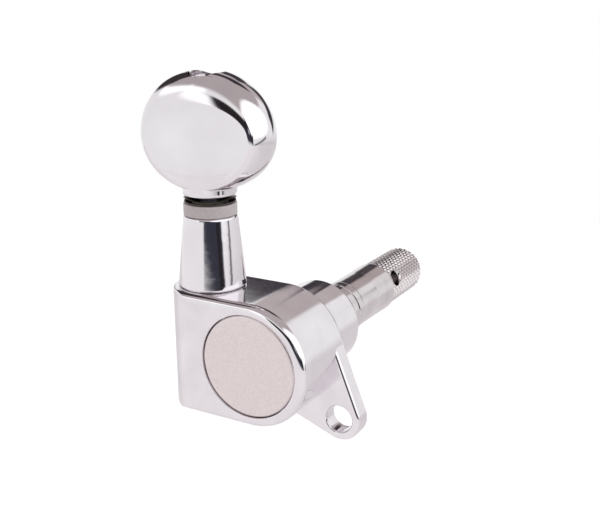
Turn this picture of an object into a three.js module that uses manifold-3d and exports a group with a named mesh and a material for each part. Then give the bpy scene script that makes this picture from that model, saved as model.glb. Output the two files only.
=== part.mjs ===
// Guitar tuning machine: a sealed worm and gear in a cast housing, with an oval metal button.
// Lengths are millimetres. The origin is where the string post's axis meets the headstock face.
// +Y runs along the post to its string end, +Z up the neck to the button, +X to the rounded side.

import * as THREE from 'three';
import { mergeVertices } from 'three/addons/utils/BufferGeometryUtils.js';
import Module from 'manifold-3d';

const wasm = await Module();
wasm.setup();

// Worm and gear
const gearTeeth = 15;
const axialModule = 0.6;
const wormPitchRadius = 2.5;
const wormLength = 8.6;
const gearWidth = 4;
const flankAngle = THREE.MathUtils.degToRad(20);
const addendumShare = 0.85; // of the module
const dedendumShare = 1.1; // of the module
const toothPlay = 0.14; // between thread and tooth, along the worm

// Fits and clearances
const meshClearance = 0.25; // tips of worm and gear to the casting round them
const turningGap = 0.1; // between a turning piece and what it turns in or against
const seatGap = 0.05; // round a piece that is pressed into its seat
const screwGap = 0.15; // round a screw's shank
const stackGap = 0.03; // between the washers under the button
const cutOverrun = 0.5; // how far every cutting body runs past the face it opens

// Housing
const columnWall = 1.04;
const caseWall = 1.54;
const backEdgeRound = 0.45;
const bossRadius = 5;
const bossLength = 7.45;
const bossChamfer = 0.35;

// Screw lug
const lugReachX = 7.25;
const lugReachZ = 7.04;
const lugTipRadius = 2.47;
const lugHoleRadius = 1.52;
const lugThickness = 1.95;

// Rear cap
const capLedge = 0.36; // how far the cap overlaps the wall of the gear chamber
const capRoom = 0.2; // between the cap and the head of the gear's screw
const capEdge = 0.15;

// Neck
const neckHeight = 7.9;
const neckFootRadius = 3.69;
const neckTopRadius = 2.89;
const neckFootChamfer = 0.2;

// Worm shaft
const lowerJournalRadius = 1.4;
const shaftRadius = 1.75;
const shaftFlatWidth = 2.6; // across the two flats that drive the button
const shaftTopShare = 0.36; // of the button's upper half height, above its centre

// Bushes, thrust washers and neck seal
const lowerBushWall = 0.85;
const lowerBushLength = 1.1;
const thrustWasherThickness = 0.4;
const neckBushWall = 0.5;
const neckBushLength = 2.6;
const neckFlangeRadius = 2.85;
const neckFlangeHeight = 1.25;
const sealSectionRadius = 0.4;
const sealRoom = 0.1;
const sealDropBelowBush = 1.2;

// Tension washers
const flatWasherThickness = 0.2;
const flatWasherRadius = 2.75;
const waveWasherRadius = 2.78;
const waveWasherThickness = 0.18;
const waveWasherRise = 0.16;
const waveWasherWaves = 3;

// Button
const collarRadius = 2.89;
const collarShowing = 0.45; // height of collar under the oval
const buttonHalfWidth = 7.5;
const buttonUpperHalf = 6.7;
const buttonLowerHalf = 5.78;
const buttonThickness = 5.8;
const buttonSideDrop = 1.4; // how far the oval draws in at its sides, from its middle to a face
const buttonTopDrop = 2.9; // the same at its top
const buttonFootDrop = 0.6; // the same at its foot
const buttonSidePower = 2; // of the share of the way to a face
const buttonRisePower = 4; // the same for top and foot
const buttonEdgeRound = 0.3;
const buttonCrown = 0.12; // how far each face swells at its centre
const buttonRestAngle = THREE.MathUtils.degToRad(8);

// Button screw
const screwRecessRadius = 2;
const screwRecessDepth = 1.8;
const buttonScrewHeadRadius = 1.7;
const buttonScrewHeadHeight = 0.75;
const buttonScrewShankRadius = 0.9;
const buttonScrewLength = 5.5;
const buttonScrewWasherThickness = 0.25;
const crossSlotWidth = 0.55;
const crossSlotDepth = 0.5;

// String post
const postRadius = 3.1;
const postReach = 30.94; // from the headstock face to the string end
const knurlStart = 21.12;
const knurlRadius = 3;
const knurlRelief = 0.12;
const postEndRound = 0.7;
const stringHoleReach = 23;
const stringHoleRadius = 1;
const stringHoleMouth = 0.35;
const stringHoleAngle = THREE.MathUtils.degToRad(25);
const endNotchDepth = 0.45;
const endNotchWidth = 1.2;
const bushingWall = 0.5;
const bushingShowing = 0.9; // length of bushing past the end of the boss

// Gear fixings
const tenonWidth = 3.2;
const tenonShort = 0.1; // how far the tenon stops short of the gear's back
const gearThrustWasherThickness = 0.5;
const gearThrustWasherRadius = 4.7;
const lockWasherThickness = 0.35;
const lockWasherRadius = 2.4;
const lockWasherSplit = 0.3;
const gearScrewHeadRadius = 2.2;
const gearScrewHeadHeight = 0.75;
const gearScrewShankRadius = 0.95;
const gearScrewLength = 4.4;

// Facets round a full turn
const wideSides = 44;
const smallSides = 24;

// Sizes that follow
const threadPitch = Math.PI * axialModule;
const gearPitchRadius = axialModule * gearTeeth / 2;
const centreDistance = gearPitchRadius + wormPitchRadius;
const addendum = axialModule * addendumShare;
const dedendum = axialModule * dedendumShare;
const wormTipRadius = wormPitchRadius + addendum;
const gearTipRadius = gearPitchRadius + addendum;
const wormBoreRadius = wormTipRadius + meshClearance;
const chamberRadius = gearTipRadius + meshClearance;
const columnRadius = wormBoreRadius + columnWall;
const caseDepth = 2 * columnRadius;
const caseRadius = chamberRadius + caseWall;
const neckX = -centreDistance;
const neckY = -columnRadius;

// Places along the post
const gearFrontY = neckY + gearWidth / 2;
const gearBackY = neckY - gearWidth / 2;
const chamberFloorY = gearFrontY + gearThrustWasherThickness + 2 * turningGap;
const gearScrewSeatY = gearBackY - lockWasherThickness;
const gearScrewBackY = gearScrewSeatY - gearScrewHeadHeight;
const capInnerY = gearScrewBackY - capRoom;
const capRadius = chamberRadius + capLedge;
const bushingInnerRadius = postRadius + turningGap;
const bushingOuterRadius = bushingInnerRadius + bushingWall;
const bossBoreRadius = bushingOuterRadius + seatGap;

// Places up the neck
const boreFloorZ = -wormLength / 2 - thrustWasherThickness - 2 * turningGap;
const neckSpigotZ = -boreFloorZ;
const neckTopZ = caseRadius + neckHeight;
const neckBoreRadius = shaftRadius + 2 * turningGap;
const neckBushInnerRadius = shaftRadius + turningGap;
const neckBushOuterRadius = neckBushInnerRadius + neckBushWall;
const neckBushFootZ = neckTopZ - neckBushLength;
const sealCentreZ = neckBushFootZ - sealDropBelowBush;
const sealRingRadius = shaftRadius + seatGap + sealSectionRadius;
const flangeTopZ = neckTopZ + neckFlangeHeight;
const flatWasherZ = flangeTopZ + stackGap;
const waveWasherZ = flatWasherZ + flatWasherThickness + stackGap;
const waveWasherHeight = waveWasherThickness + 2 * waveWasherRise;
const collarFootZ = waveWasherZ + waveWasherHeight + stackGap;
const buttonCentreZ = collarFootZ + collarShowing + buttonLowerHalf;
const buttonTopZ = buttonCentreZ + buttonUpperHalf;
const recessFloorZ = buttonTopZ - screwRecessDepth;
const shaftTopZ = buttonCentreZ + buttonUpperHalf * shaftTopShare;
const buttonScrewSeatZ = recessFloorZ + buttonScrewWasherThickness;
const buttonScrewFootZ = buttonScrewSeatZ - buttonScrewLength;

// Finishes
const chrome = finish(0xc9c6c8, 0.08, 1);
const satinChrome = finish(0xcfc7c7, 0.35, 1);
const steel = finish(0x8f9296, 0.3, 1);
const darkSteel = finish(0x3b3531, 0.45, 1);
const brass = finish(0xb89650, 0.35, 1);
const nylon = finish(0xd0ccce, 0.5, 0);
const rubber = finish(0x17171a, 0.8, 0);

function finish(color, roughness, metalness) {
  return new THREE.MeshStandardMaterial({ color, roughness, metalness });
}

// Turns a profile of [radius, height] points about the Z axis.
function turned(points, sides = smallSides) {
  return turnedAlongY(points, sides).rotateX(Math.PI / 2);
}

// Turns a profile of [radius, distance] points about the Y axis.
function turnedAlongY(points, sides = smallSides) {
  const profile = points.map(([radius, distance]) => new THREE.Vector2(radius, distance));
  return new THREE.LatheGeometry(profile, sides);
}

// Profile of a plain ring or, with no inner radius, of a plain disc.
function ringProfile(inner, outer, low, high) {
  const corners = [[inner, low], [outer, low], [outer, high], [inner, high]];
  return inner > 0 ? [...corners, [inner, low]] : corners;
}

// Joins rings of points, all with the same count, into a closed body with a fan on each end.
function lofted(rings) {
  const count = rings[0].length;
  const points = rings.flat();
  const triangles = [];
  for (let level = 0; level + 1 < rings.length; level += 1) {
    for (let step = 0; step < count; step += 1) {
      const here = level * count + step;
      const next = level * count + (step + 1) % count;
      triangles.push(here, next, next + count, here, next + count, here + count);
    }
  }
  const last = (rings.length - 1) * count;
  const firstCentre = points.push(centreOf(rings[0])) - 1;
  const lastCentre = points.push(centreOf(rings[rings.length - 1])) - 1;
  for (let step = 0; step < count; step += 1) {
    const next = (step + 1) % count;
    triangles.push(firstCentre, next, step, lastCentre, last + step, last + next);
  }
  const geometry = new THREE.BufferGeometry().setFromPoints(points);
  geometry.setIndex(triangles);
  return facingOut(geometry);
}

function centreOf(points) {
  const sum = points.reduce((total, point) => total.add(point), new THREE.Vector3());
  return sum.divideScalar(points.length);
}

// Turns the triangles round where the volume they enclose comes out negative.
function facingOut(geometry) {
  const place = geometry.attributes.position;
  const corners = geometry.index.array;
  const [a, b, c] = [new THREE.Vector3(), new THREE.Vector3(), new THREE.Vector3()];
  let volume = 0;
  for (let i = 0; i < corners.length; i += 3) {
    a.fromBufferAttribute(place, corners[i]);
    b.fromBufferAttribute(place, corners[i + 1]);
    c.fromBufferAttribute(place, corners[i + 2]);
    volume += a.dot(b.cross(c));
  }
  if (volume < 0) {
    for (let i = 0; i < corners.length; i += 3) {
      [corners[i], corners[i + 1]] = [corners[i + 1], corners[i]];
    }
  }
  return geometry;
}

// Makes a closed geometry into a solid that can be joined and cut.
function solid(geometry) {
  const bare = geometry.clone();
  bare.deleteAttribute('normal');
  bare.deleteAttribute('uv');
  const merged = mergeVertices(bare);
  const corners = [];
  for (let i = 0; i < merged.index.count; i += 3) {
    const [a, b, c] = [merged.index.getX(i), merged.index.getX(i + 1), merged.index.getX(i + 2)];
    if (a !== b && b !== c && c !== a) corners.push(a, b, c);
  }
  return new wasm.Manifold(new wasm.Mesh({
    numProp: 3,
    vertProperties: new Float32Array(merged.attributes.position.array),
    triVerts: new Uint32Array(corners),
  }));
}

function geometryOf(body) {
  const mesh = body.getMesh();
  const geometry = new THREE.BufferGeometry();
  geometry.setAttribute('position', new THREE.BufferAttribute(mesh.vertProperties, 3));
  geometry.setIndex(new THREE.BufferAttribute(mesh.triVerts, 1));
  return geometry;
}

function cut(body, ...tools) {
  return tools.reduce((rest, tool) => rest.subtract(solid(tool)), body);
}

function piece(name, geometry, material) {
  const mesh = new THREE.Mesh(geometry, material);
  mesh.name = name;
  return mesh;
}

// The side view of the gear case: flat top and bottom, and a round end about the post's axis.
function caseOutline(radius, y, left) {
  const points = [];
  const arcSteps = wideSides / 2;
  for (let step = 0; step <= arcSteps; step += 1) {
    const angle = -Math.PI / 2 + Math.PI * step / arcSteps;
    points.push(new THREE.Vector3(radius * Math.cos(angle), y, radius * Math.sin(angle)));
  }
  points.push(new THREE.Vector3(left, y, radius), new THREE.Vector3(left, y, -radius));
  return points;
}

// The gear case with a rounded edge round its back face.
function caseBlock() {
  const roundSteps = 4;
  const left = neckX - columnRadius - cutOverrun;
  const rings = [caseOutline(caseRadius, 0, left)];
  for (let step = 0; step <= roundSteps; step += 1) {
    const angle = Math.PI / 2 * step / roundSteps;
    const drawnIn = backEdgeRound * (1 - Math.cos(angle));
    const y = -caseDepth + backEdgeRound * (1 - Math.sin(angle));
    rings.push(caseOutline(caseRadius - drawnIn, y, left));
  }
  return lofted(rings);
}

// The plan of the gear case: its left end is a half round about the neck's axis.
function casePlan() {
  const right = caseRadius + cutOverrun;
  const plan = new THREE.Shape();
  plan.moveTo(right, 0);
  plan.lineTo(neckX, 0);
  plan.absarc(neckX, neckY, columnRadius, Math.PI / 2, 3 * Math.PI / 2, false);
  plan.lineTo(right, -caseDepth);
  plan.closePath();
  const depth = 2 * (caseRadius + cutOverrun);
  const geometry = new THREE.ExtrudeGeometry(plan, {
    depth, bevelEnabled: false, curveSegments: wideSides / 2,
  });
  return geometry.translate(0, 0, -depth / 2);
}

// The lug is the band that runs straight from the round of the case to a round tip.
function lugPlate() {
  const distance = Math.hypot(lugReachX, lugReachZ);
  const direction = Math.atan2(-lugReachZ, lugReachX);
  const spread = Math.acos((caseRadius - lugTipRadius) / distance);
  const band = new THREE.Shape();
  band.moveTo(0, 0);
  band.lineTo(caseRadius * Math.cos(direction - spread), caseRadius * Math.sin(direction - spread));
  band.absarc(lugReachX, -lugReachZ, lugTipRadius, direction - spread, direction + spread, false);
  band.lineTo(caseRadius * Math.cos(direction + spread), caseRadius * Math.sin(direction + spread));
  band.closePath();
  const geometry = new THREE.ExtrudeGeometry(band, {
    depth: lugThickness, bevelEnabled: false, curveSegments: smallSides / 2,
  });
  return geometry.rotateX(Math.PI / 2);
}

function makeHousing() {
  const boss = turnedAlongY([
    [0, chamberFloorY], [bossRadius, chamberFloorY], [bossRadius, bossLength - bossChamfer],
    [bossRadius - bossChamfer, bossLength], [0, bossLength],
  ], wideSides);
  const chamber = turnedAlongY([
    [0, -caseDepth - cutOverrun], [capRadius + seatGap, -caseDepth - cutOverrun],
    [capRadius + seatGap, capInnerY], [chamberRadius, capInnerY],
    [chamberRadius, chamberFloorY], [0, chamberFloorY],
  ], wideSides);
  const bushingBore = turnedAlongY(
    ringProfile(0, bossBoreRadius, chamberFloorY - cutOverrun, bossLength + cutOverrun), wideSides);
  const lowerBushRadius = lowerJournalRadius + turningGap + lowerBushWall;
  const wormBore = turned([
    [0, boreFloorZ - lowerBushLength], [lowerBushRadius + seatGap, boreFloorZ - lowerBushLength],
    [lowerBushRadius + seatGap, boreFloorZ], [wormBoreRadius, boreFloorZ],
    [wormBoreRadius, caseRadius + cutOverrun], [0, caseRadius + cutOverrun],
  ], wideSides).translate(neckX, neckY, 0);
  const lugHole = turnedAlongY(
    ringProfile(0, lugHoleRadius, -lugThickness - cutOverrun, cutOverrun));
  lugHole.translate(lugReachX, 0, -lugReachZ);
  const body = solid(caseBlock()).intersect(solid(casePlan()))
    .add(solid(lugPlate()))
    .add(solid(boss));
  return cut(body, chamber, bushingBore, wormBore, lugHole);
}

function makeNeck() {
  const bushPocket = neckBushOuterRadius + seatGap;
  const grooveRadius = sealRingRadius + sealSectionRadius + seatGap;
  const grooveHalf = sealSectionRadius + sealRoom;
  return turned([
    [neckBoreRadius, neckSpigotZ],
    [wormBoreRadius - seatGap, neckSpigotZ],
    [wormBoreRadius - seatGap, caseRadius],
    [neckFootRadius - neckFootChamfer, caseRadius],
    [neckFootRadius, caseRadius + neckFootChamfer],
    [neckTopRadius, neckTopZ],
    [bushPocket, neckTopZ],
    [bushPocket, neckBushFootZ - seatGap],
    [neckBoreRadius, neckBushFootZ - seatGap],
    [neckBoreRadius, sealCentreZ + grooveHalf],
    [grooveRadius, sealCentreZ + grooveHalf],
    [grooveRadius, sealCentreZ - grooveHalf],
    [neckBoreRadius, sealCentreZ - grooveHalf],
    [neckBoreRadius, neckSpigotZ],
  ], wideSides);
}

function makeNeckBush() {
  return turned([
    [neckBushInnerRadius, neckBushFootZ],
    [neckBushOuterRadius, neckBushFootZ],
    [neckBushOuterRadius, neckTopZ],
    [neckFlangeRadius, neckTopZ],
    [neckFlangeRadius, flangeTopZ],
    [neckBushInnerRadius, flangeTopZ],
    [neckBushInnerRadius, neckBushFootZ],
  ], wideSides);
}

function makeSealRing() {
  const sectionSides = 12;
  const section = [];
  for (let step = 0; step <= sectionSides; step += 1) {
    const angle = 2 * Math.PI * (step % sectionSides) / sectionSides;
    section.push([
      sealRingRadius + sealSectionRadius * Math.cos(angle),
      sealCentreZ + sealSectionRadius * Math.sin(angle),
    ]);
  }
  return turned(section);
}

// A flat ring bent into equal waves: its height follows a cosine round the turn.
function makeWaveWasher() {
  const inner = neckBushInnerRadius;
  const middle = waveWasherZ + waveWasherHeight / 2;
  const steps = smallSides;
  const sections = [];
  for (let step = 0; step < steps; step += 1) {
    const angle = 2 * Math.PI * step / steps;
    const centre = middle + waveWasherRise * Math.cos(waveWasherWaves * angle);
    const low = centre - waveWasherThickness / 2;
    const high = centre + waveWasherThickness / 2;
    sections.push([[inner, low], [waveWasherRadius, low], [waveWasherRadius, high], [inner, high]]
      .map(([radius, z]) => new THREE.Vector3(radius * Math.cos(angle), radius * Math.sin(angle), z)));
  }
  return closedBand(sections);
}

// Joins sections that follow each other round a ring back to the first one.
function closedBand(sections) {
  const count = sections[0].length;
  const triangles = [];
  sections.forEach((section, index) => {
    const following = (index + 1) % sections.length;
    for (let corner = 0; corner < count; corner += 1) {
      const a = index * count + corner;
      const b = index * count + (corner + 1) % count;
      const c = following * count + (corner + 1) % count;
      const d = following * count + corner;
      triangles.push(a, b, c, a, c, d);
    }
  });
  const geometry = new THREE.BufferGeometry().setFromPoints(sections.flat());
  geometry.setIndex(triangles);
  return facingOut(geometry);
}

// One start of thread on the worm, as a sheared grid: every column is the straight-sided section
// repeated up the axis, and it rises by one pitch in a full turn, so the last column meets the
// first one a section higher up. A fan closes each end, outside the blank that trims the thread.
function threadGrid() {
  const halfAtPitch = (threadPitch - toothPlay) / 4;
  const halfAtTip = halfAtPitch - addendum * Math.tan(flankAngle);
  const halfAtRoot = halfAtPitch + dedendum * Math.tan(flankAngle);
  const rootRadius = wormPitchRadius - dedendum;
  const section = [
    [-halfAtRoot, rootRadius], [-halfAtTip, wormTipRadius],
    [halfAtTip, wormTipRadius], [halfAtRoot, rootRadius],
  ];
  const perTurn = section.length;
  const columns = smallSides;
  const turnsEachWay = Math.ceil(wormLength / threadPitch / 2) + 1;
  const rows = 2 * turnsEachWay * perTurn;
  const points = [];
  for (let row = 0; row <= rows; row += 1) {
    const [along, radius] = section[row % perTurn];
    const turn = Math.floor(row / perTurn) - turnsEachWay;
    for (let column = 0; column < columns; column += 1) {
      const share = column / columns;
      const angle = 2 * Math.PI * share;
      const height = (turn + share) * threadPitch + along;
      points.push(new THREE.Vector3(radius * Math.cos(angle), radius * Math.sin(angle), height));
    }
  }
  const vertex = (row, column) => (
    column < columns ? row * columns + column : (row + perTurn) * columns);
  const topRow = rows - perTurn;
  const triangles = [];
  const lowRim = [];
  const highRim = [];
  for (let column = 0; column < columns; column += 1) {
    for (let row = 0; row < topRow; row += 1) {
      const here = vertex(row, column);
      const across = vertex(row + 1, column + 1);
      triangles.push(here, vertex(row, column + 1), across, here, across, vertex(row + 1, column));
    }
    lowRim.push(vertex(0, column));
    highRim.push(vertex(topRow, column));
  }
  for (let row = perTurn; row > 0; row -= 1) {
    lowRim.push(vertex(row, 0));
    highRim.push(vertex(topRow + row, 0));
  }
  const lowCentre = points.push(new THREE.Vector3(0, 0, -turnsEachWay * threadPitch)) - 1;
  const highCentre = points.push(new THREE.Vector3(0, 0, turnsEachWay * threadPitch)) - 1;
  lowRim.forEach((here, index) => {
    triangles.push(lowCentre, lowRim[(index + 1) % lowRim.length], here);
    triangles.push(highCentre, highRim[index], highRim[(index + 1) % highRim.length]);
  });
  const geometry = new THREE.BufferGeometry().setFromPoints(points);
  geometry.setIndex(triangles);
  return facingOut(geometry);
}

// Two blocks that leave a width of material between them, for flats on a round.
function flatCutters(width, reach, low, high) {
  return [-1, 1].map((side) => new THREE.BoxGeometry(reach, 2 * reach, high - low)
    .translate(side * (width + reach) / 2, 0, (low + high) / 2)
    .rotateZ(buttonRestAngle));
}

function makeWormShaft() {
  const half = wormLength / 2;
  const rootRadius = wormPitchRadius - dedendum;
  const blank = turned([
    [0, -half], [rootRadius, -half], [wormTipRadius, -half + addendum],
    [wormTipRadius, half - addendum], [rootRadius, half], [0, half],
  ]);
  const journalFootZ = boreFloorZ - lowerBushLength + turningGap;
  const shaft = turned([
    [0, journalFootZ], [lowerJournalRadius, journalFootZ], [lowerJournalRadius, 0],
    [shaftRadius, 0], [shaftRadius, shaftTopZ], [0, shaftTopZ],
  ]);
  const tappedHole = turned(ringProfile(
    0, buttonScrewShankRadius + screwGap, buttonScrewFootZ - turningGap, shaftTopZ + cutOverrun));
  const body = solid(threadGrid()).intersect(solid(blank)).add(solid(shaft));
  return cut(body, tappedHole,
    ...flatCutters(shaftFlatWidth, shaftRadius, collarFootZ, shaftTopZ + cutOverrun));
}

// The oval at one depth: an ellipse whose lower half is a little flatter than its upper half. It
// draws in towards the faces, most of all at the top.
function buttonOutline(y, inset, shrink) {
  const across = Math.min(1, Math.abs(y) / (buttonThickness / 2));
  const halfWidth = buttonHalfWidth - buttonSideDrop * across ** buttonSidePower - inset;
  const upperHalf = buttonUpperHalf - buttonTopDrop * across ** buttonRisePower - inset;
  const lowerHalf = buttonLowerHalf - buttonFootDrop * across ** buttonRisePower - inset;
  const points = [];
  for (let step = 0; step < wideSides; step += 1) {
    const angle = 2 * Math.PI * step / wideSides;
    const half = angle < Math.PI ? upperHalf : lowerHalf;
    points.push(new THREE.Vector3(
      shrink * halfWidth * Math.cos(angle),
      y,
      buttonCentreZ + shrink * half * Math.sin(angle)));
  }
  return points;
}

function makeButton() {
  const sideSteps = 12;
  const edgeSteps = 2;
  const crownShare = 0.5;
  const faceY = buttonThickness / 2;
  const sideReach = faceY - buttonEdgeRound;
  const rings = [];
  for (let step = 0; step <= sideSteps; step += 1) {
    const angle = Math.PI * (step / sideSteps - 1 / 2);
    rings.push(buttonOutline(sideReach * Math.sin(angle), 0, 1));
  }
  for (let step = 1; step <= edgeSteps; step += 1) {
    const angle = Math.PI / 2 * step / edgeSteps;
    const inset = buttonEdgeRound * (1 - Math.cos(angle));
    const y = sideReach + buttonEdgeRound * Math.sin(angle);
    rings.push(buttonOutline(y, inset, 1));
    rings.unshift(buttonOutline(-y, inset, 1));
  }
  rings.push(buttonOutline(faceY + buttonCrown, buttonEdgeRound, crownShare));
  rings.unshift(buttonOutline(-faceY - buttonCrown, buttonEdgeRound, crownShare));
  const oval = lofted(rings).rotateZ(buttonRestAngle);
  const collar = turned(ringProfile(0, collarRadius, collarFootZ, buttonCentreZ), wideSides);
  const boreRadius = shaftRadius + seatGap;
  const boreTopZ = shaftTopZ + turningGap;
  const bore = flatCutters(
    shaftFlatWidth + 2 * seatGap, boreRadius, collarFootZ - cutOverrun, boreTopZ + cutOverrun,
  ).reduce(
    (round, side) => round.subtract(solid(side)),
    solid(turned(ringProfile(0, boreRadius, collarFootZ - cutOverrun, boreTopZ))));
  const screwHole = turned(ringProfile(
    0, buttonScrewShankRadius + screwGap, shaftTopZ, recessFloorZ + cutOverrun));
  const recess = turned(ringProfile(
    0, screwRecessRadius, recessFloorZ, buttonTopZ + cutOverrun), wideSides);
  return cut(solid(oval).add(solid(collar)).subtract(bore), screwHole, recess);
}

function makeButtonScrew() {
  const headTopZ = buttonScrewSeatZ + buttonScrewHeadHeight;
  const headEdge = buttonScrewHeadHeight / 3;
  const body = turned([
    [0, buttonScrewFootZ],
    [buttonScrewShankRadius, buttonScrewFootZ],
    [buttonScrewShankRadius, buttonScrewSeatZ],
    [buttonScrewHeadRadius, buttonScrewSeatZ],
    [buttonScrewHeadRadius, headTopZ - headEdge],
    [buttonScrewHeadRadius - headEdge, headTopZ],
    [0, headTopZ],
  ]);
  const slotReach = 2 * (buttonScrewHeadRadius - headEdge) - crossSlotWidth;
  const slot = new THREE.BoxGeometry(slotReach, crossSlotWidth, 2 * crossSlotDepth)
    .translate(0, 0, headTopZ)
    .rotateZ(buttonRestAngle);
  const crossSlot = slot.clone().rotateZ(Math.PI / 2);
  return cut(solid(body), slot, crossSlot);
}

// Lines a body that runs along Z up with the string hole, which crosses the post at an angle.
function acrossPost(geometry) {
  return geometry.rotateY(Math.PI / 2 - stringHoleAngle);
}

function stringHoleCutter() {
  const far = postRadius + cutOverrun;
  const mouthRadius = stringHoleRadius + stringHoleMouth + cutOverrun;
  const mouthFoot = knurlRadius - stringHoleMouth;
  return acrossPost(turned([
    [0, -far], [mouthRadius, -far], [stringHoleRadius, -mouthFoot],
    [stringHoleRadius, mouthFoot], [mouthRadius, far], [0, far],
  ])).translate(0, stringHoleReach, 0);
}

// The notch is a shallow V across the end of the post, in line with the string hole.
function endNotchCutter() {
  const halfAtTop = endNotchWidth / 2 * (endNotchDepth + cutOverrun) / endNotchDepth;
  const notch = new THREE.Shape();
  notch.moveTo(0, postReach - endNotchDepth);
  notch.lineTo(halfAtTop, postReach + cutOverrun);
  notch.lineTo(-halfAtTop, postReach + cutOverrun);
  notch.closePath();
  const depth = 2 * (postRadius + cutOverrun);
  const prism = new THREE.ExtrudeGeometry(notch, { depth, bevelEnabled: false });
  return acrossPost(prism.translate(0, 0, -depth / 2));
}

function makeStringPost() {
  const roundSteps = 5;
  const profile = [
    [0, gearFrontY], [postRadius, gearFrontY], [postRadius, knurlStart],
    [knurlRadius, knurlStart + knurlRelief],
  ];
  for (let step = 0; step <= roundSteps; step += 1) {
    const angle = Math.PI / 2 * step / roundSteps;
    profile.push([
      knurlRadius - postEndRound * (1 - Math.cos(angle)),
      postReach - postEndRound * (1 - Math.sin(angle)),
    ]);
  }
  profile.push([0, postReach]);
  const tenonBackY = gearBackY + tenonShort;
  const tenonLength = gearFrontY - tenonBackY + cutOverrun;
  const tenon = new THREE.BoxGeometry(tenonWidth, tenonLength, tenonWidth)
    .translate(0, tenonBackY + tenonLength / 2, 0);
  const tappedHole = turnedAlongY(ringProfile(
    0, gearScrewShankRadius + screwGap,
    tenonBackY - cutOverrun, gearScrewSeatY + gearScrewLength + turningGap));
  const body = solid(turnedAlongY(profile, wideSides)).add(solid(tenon));
  return cut(body, tappedHole, stringHoleCutter(), endNotchCutter());
}

// Angle between an involute's start and the point where it reaches a radius.
function involuteAngle(radius, baseRadius) {
  const pressure = Math.acos(Math.min(1, baseRadius / radius));
  return Math.tan(pressure) - pressure;
}

// Side view of the gear: involute flanks, with a radial foot under the base circle.
function gearOutline(turn, y) {
  const baseRadius = gearPitchRadius * Math.cos(flankAngle);
  const rootRadius = gearPitchRadius - dedendum;
  const halfAtPitch = (threadPitch - toothPlay) / 4 / gearPitchRadius;
  const flankRadii = [rootRadius, baseRadius, gearPitchRadius, gearTipRadius];
  const flank = flankRadii.map((radius) => [
    radius,
    halfAtPitch + involuteAngle(gearPitchRadius, baseRadius) - involuteAngle(radius, baseRadius),
  ]);
  const points = [];
  for (let tooth = 0; tooth < gearTeeth; tooth += 1) {
    const middle = 2 * Math.PI * (tooth + 0.5) / gearTeeth + Math.PI + turn;
    const side = (sign) => ([radius, half]) => {
      const angle = middle + sign * half;
      return new THREE.Vector3(radius * Math.cos(angle), y, -radius * Math.sin(angle));
    };
    points.push(...flank.map(side(-1)), ...flank.map(side(1)).reverse());
  }
  return points;
}

// The teeth lean by the worm's lead angle, so each slice of the wheel is turned a little more.
function makeWormGear() {
  const slices = 3;
  const leadSlope = threadPitch / (2 * Math.PI * wormPitchRadius);
  const rings = [];
  for (let slice = 0; slice <= slices; slice += 1) {
    const offset = gearWidth * (slice / slices - 1 / 2);
    rings.push(gearOutline(leadSlope * offset / gearPitchRadius, neckY + offset));
  }
  const hole = new THREE.BoxGeometry(
    tenonWidth + 2 * seatGap, gearWidth + 2 * cutOverrun, tenonWidth + 2 * seatGap);
  return cut(solid(lofted(rings)), hole.translate(0, neckY, 0));
}

function makeLockWasher() {
  const inner = gearScrewShankRadius + screwGap;
  const ring = turnedAlongY(ringProfile(inner, lockWasherRadius, gearScrewSeatY, gearBackY));
  const split = new THREE.BoxGeometry(
    lockWasherRadius + cutOverrun, lockWasherThickness + 2 * cutOverrun, lockWasherSplit);
  split.translate((lockWasherRadius + cutOverrun) / 2, (gearScrewSeatY + gearBackY) / 2, 0);
  return cut(solid(ring), split);
}

function makeGearScrew() {
  const head = turnedAlongY([
    [0, gearScrewBackY],
    [gearScrewHeadRadius, gearScrewBackY],
    [gearScrewHeadRadius, gearScrewSeatY],
    [gearScrewShankRadius, gearScrewSeatY],
    [gearScrewShankRadius, gearScrewSeatY + gearScrewLength],
    [0, gearScrewSeatY + gearScrewLength],
  ]);
  const slot = new THREE.BoxGeometry(
    2 * (gearScrewHeadRadius - crossSlotWidth), 2 * crossSlotDepth, crossSlotWidth);
  slot.translate(0, gearScrewBackY, 0);
  return cut(solid(head), slot, slot.clone().rotateY(Math.PI / 2));
}

function makeRearCap() {
  return turnedAlongY([
    [0, -caseDepth], [capRadius - capEdge, -caseDepth],
    [capRadius, -caseDepth + capEdge], [capRadius, capInnerY], [0, capInnerY],
  ], wideSides);
}

// Pieces that stay with the headstock
const fixedPieces = new THREE.Group();
fixedPieces.add(
  piece('housing', geometryOf(makeHousing()), chrome),
  piece('rear_cap', makeRearCap(), satinChrome),
  piece('post_bushing', turnedAlongY(ringProfile(
    bushingInnerRadius, bushingOuterRadius, chamberFloorY, bossLength + bushingShowing,
  ), wideSides), steel),
  piece('gear_thrust_washer', turnedAlongY(ringProfile(
    bushingInnerRadius, gearThrustWasherRadius,
    gearFrontY + turningGap, gearFrontY + turningGap + gearThrustWasherThickness,
  )), nylon),
);

const neckPieces = new THREE.Group();
neckPieces.position.set(neckX, neckY, 0);
neckPieces.add(
  piece('stem_neck', makeNeck(), chrome),
  piece('neck_bush', makeNeckBush(), nylon),
  piece('neck_seal_ring', makeSealRing(), rubber),
  piece('lower_shaft_bush', turned(ringProfile(
    lowerJournalRadius + turningGap, lowerJournalRadius + turningGap + lowerBushWall,
    boreFloorZ - lowerBushLength + seatGap, boreFloorZ,
  )), brass),
  piece('lower_thrust_washer', turned(ringProfile(
    lowerJournalRadius + turningGap, wormTipRadius,
    boreFloorZ + turningGap, boreFloorZ + turningGap + thrustWasherThickness,
  )), nylon),
  piece('upper_thrust_washer', turned(ringProfile(
    shaftRadius + turningGap, wormTipRadius,
    wormLength / 2 + turningGap, wormLength / 2 + turningGap + thrustWasherThickness,
  )), nylon),
);

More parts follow.
